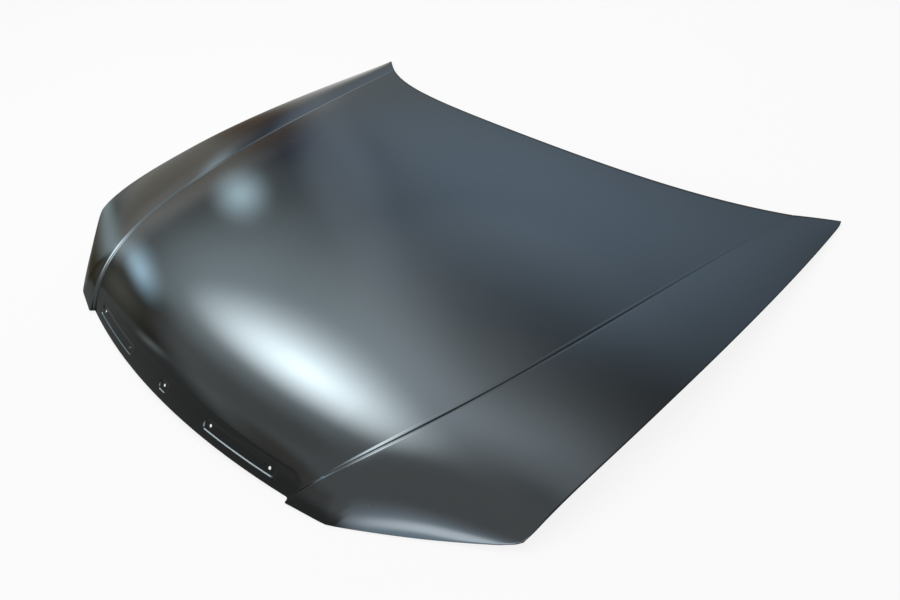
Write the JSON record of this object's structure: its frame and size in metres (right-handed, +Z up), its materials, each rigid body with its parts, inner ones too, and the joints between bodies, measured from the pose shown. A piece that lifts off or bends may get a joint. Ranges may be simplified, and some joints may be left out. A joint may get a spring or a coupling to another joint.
{
  "type": "car bonnet",
  "caption": "Bare car bonnet in black primer: crowned outer skin with a crease on each side, hemmed over a pressed inner panel with windows and hinge and latch pads.",
  "frame": {"origin": "on the floor under the middle of the bonnet, which lies right side up on its front and rear corners", "axes": "+Z up, +X towards the car's left side, -Y towards the car's front, so the nose points to -Y"},
  "size_m": [1.4626, 1.2108, 0.1172],
  "materials": {
    "skin_primer": "satin",
    "panel_primer": "satin",
    "reinforcement": "matte",
    "weld_nut": "matte",
    "mastic": "matte"
  },
  "bodies": {
    "root": {"hinge_reinforcement_left": "reinforcement", "hinge_reinforcement_right": "reinforcement", "inner_panel": "panel_primer", "latch_reinforcement": "reinforcement", "mastic_drop_01": "mastic", "mastic_drop_02": "mastic", "mastic_drop_03": "mastic", "mastic_drop_04": "mastic", "mastic_drop_05": "mastic", "mastic_drop_06": "mastic", "mastic_drop_07": "mastic", "mastic_drop_08": "mastic", "mastic_drop_09": "mastic", "mastic_drop_10": "mastic", "mastic_drop_11": "mastic", "mastic_drop_12": "mastic", "mastic_drop_13": "mastic", "mastic_drop_14": "mastic", "outer_skin": "skin_primer", "weld_nut_hinge_left_1": "weld_nut", "weld_nut_hinge_left_2": "weld_nut", "weld_nut_hinge_right_1": "weld_nut", "weld_nut_hinge_right_2": "weld_nut", "weld_nut_latch_1": "weld_nut", "weld_nut_latch_2": "weld_nut"}
  },
  "joints": []
}
